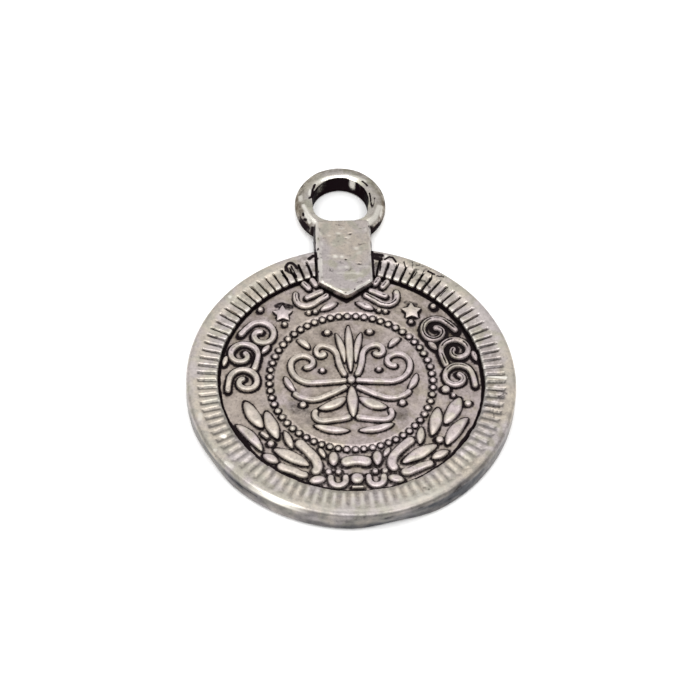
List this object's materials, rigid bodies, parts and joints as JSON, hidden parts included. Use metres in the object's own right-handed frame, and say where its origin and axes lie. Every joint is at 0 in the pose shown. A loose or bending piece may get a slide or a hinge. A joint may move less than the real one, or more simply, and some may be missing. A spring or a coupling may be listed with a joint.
{
  "type": "coin pendant",
  "caption": "Cast antique-silver coin pendant with toothed rim, bead circle, laurel and scroll relief, a pointed tab and an eye ring.",
  "frame": {"origin": "on the floor under the middle of the pendant's length and width, with the pendant on its back", "axes": "+Z out of the coin's face, +Y from the coin towards the eye ring, +X to the right as the face is seen"},
  "size_m": [0.025, 0.0334, 0.0024],
  "materials": {
    "antique_silver": "cast, antiqued with a dark patina in the recesses and rubbed bright on the relief"
  },
  "bodies": {
    "root": {"coin_pendant": "antique_silver"}
  },
  "joints": []
}
